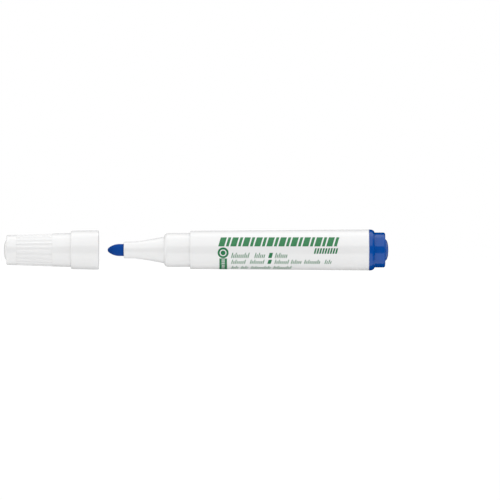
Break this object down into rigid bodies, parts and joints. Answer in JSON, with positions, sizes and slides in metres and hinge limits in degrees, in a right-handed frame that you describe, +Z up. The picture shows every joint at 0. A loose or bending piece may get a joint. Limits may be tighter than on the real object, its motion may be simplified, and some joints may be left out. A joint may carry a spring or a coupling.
{
  "type": "felt tip marker",
  "caption": "Whiteboard marker with a bullet nib, a ribbed pull-off cap lying in line in front of it, and a coloured end plug.",
  "frame": {"origin": "under the middle of the laid-out marker, on the surface it lies on (bottom centre of the bounding box with the cap off)", "axes": "+X along the marker from the cap to the end plug, +Z up, +Y away from a viewer who reads the print"},
  "size_m": [0.1692, 0.018, 0.0181],
  "materials": {
    "white_plastic": "satin",
    "blue_plastic": "gloss",
    "nib_fibre": "matte",
    "reservoir_fibre": "matte",
    "clear_film": "gloss",
    "seal_plastic": "matte",
    "print_ink": "satin"
  },
  "bodies": {
    "barrel": {"barrel": "white_plastic", "front_section": "white_plastic", "nib": "nib_fibre", "ink_reservoir": "reservoir_fibre", "reservoir_film": "clear_film", "end_plug": "blue_plastic"},
    "cap": {"cap_shell": "white_plastic", "cap_inner_seal": "seal_plastic"}
  },
  "joints": [
    {"name": "cap_slide", "type": "slide", "parent": "barrel", "child": "cap", "axis": [1, 0, 0], "range_m": [0, 0.0401]}
  ]
}
